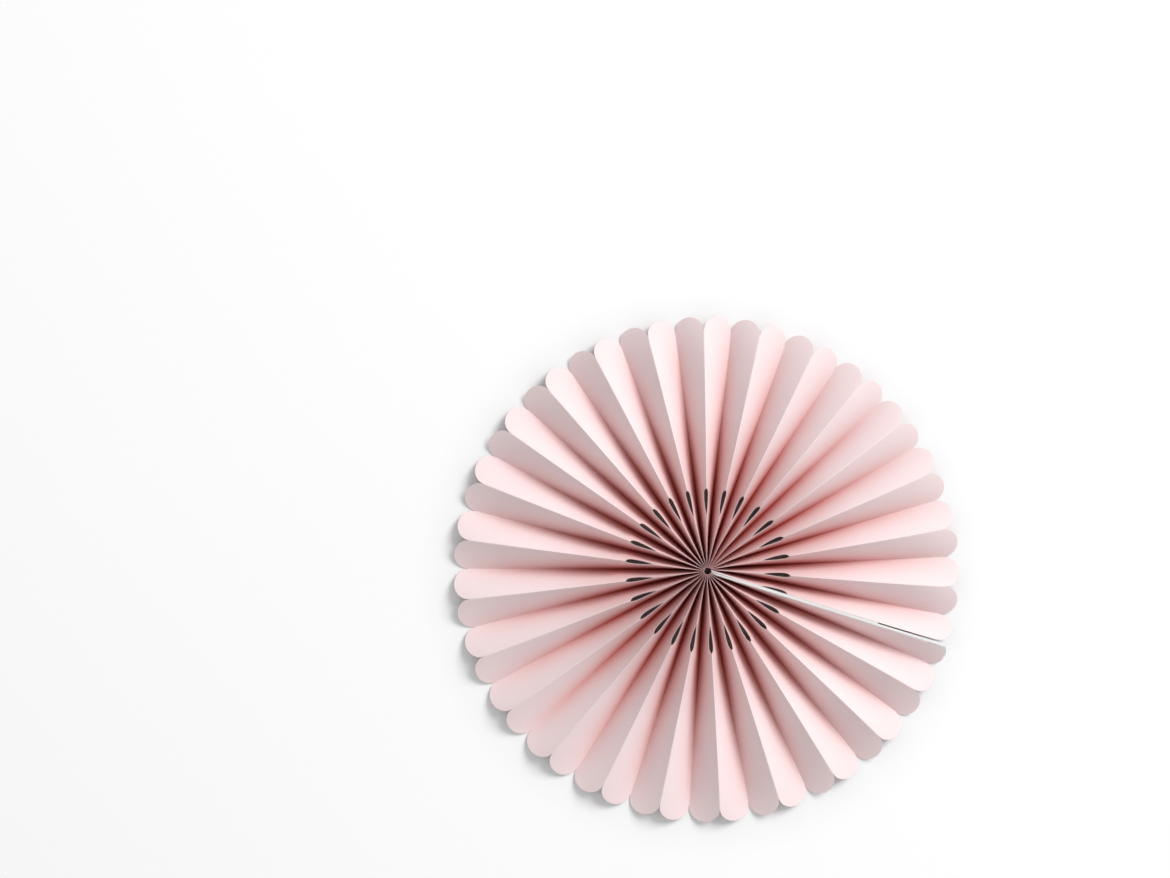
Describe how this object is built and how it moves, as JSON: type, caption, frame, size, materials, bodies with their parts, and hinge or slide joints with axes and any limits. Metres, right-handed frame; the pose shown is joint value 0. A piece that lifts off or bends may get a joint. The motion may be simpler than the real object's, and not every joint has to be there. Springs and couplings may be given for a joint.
{
  "type": "paper fan rosette",
  "caption": "Pleated paper fan closed into a disc, with rounded tongues at the rim and tear-shaped cut-outs on its ridges.",
  "frame": {"origin": "centre of the back, in the plane that the valley folds lie in", "axes": "+Z along the rosette's axis, out of its front; +X towards the seam side, 17.5 degrees from the seam"},
  "size_m": [0.3197, 0.3198, 0.021],
  "materials": {
    "blush_card": "matt",
    "white_board": "matt",
    "white_tape": "matt",
    "white_thread": "twisted"
  },
  "bodies": {
    "root": {"pleated_card": "blush_card", "seam_board": "white_board", "tape_outer": "white_tape", "tape_inner": "white_tape", "binding_thread": "white_thread"}
  },
  "joints": []
}
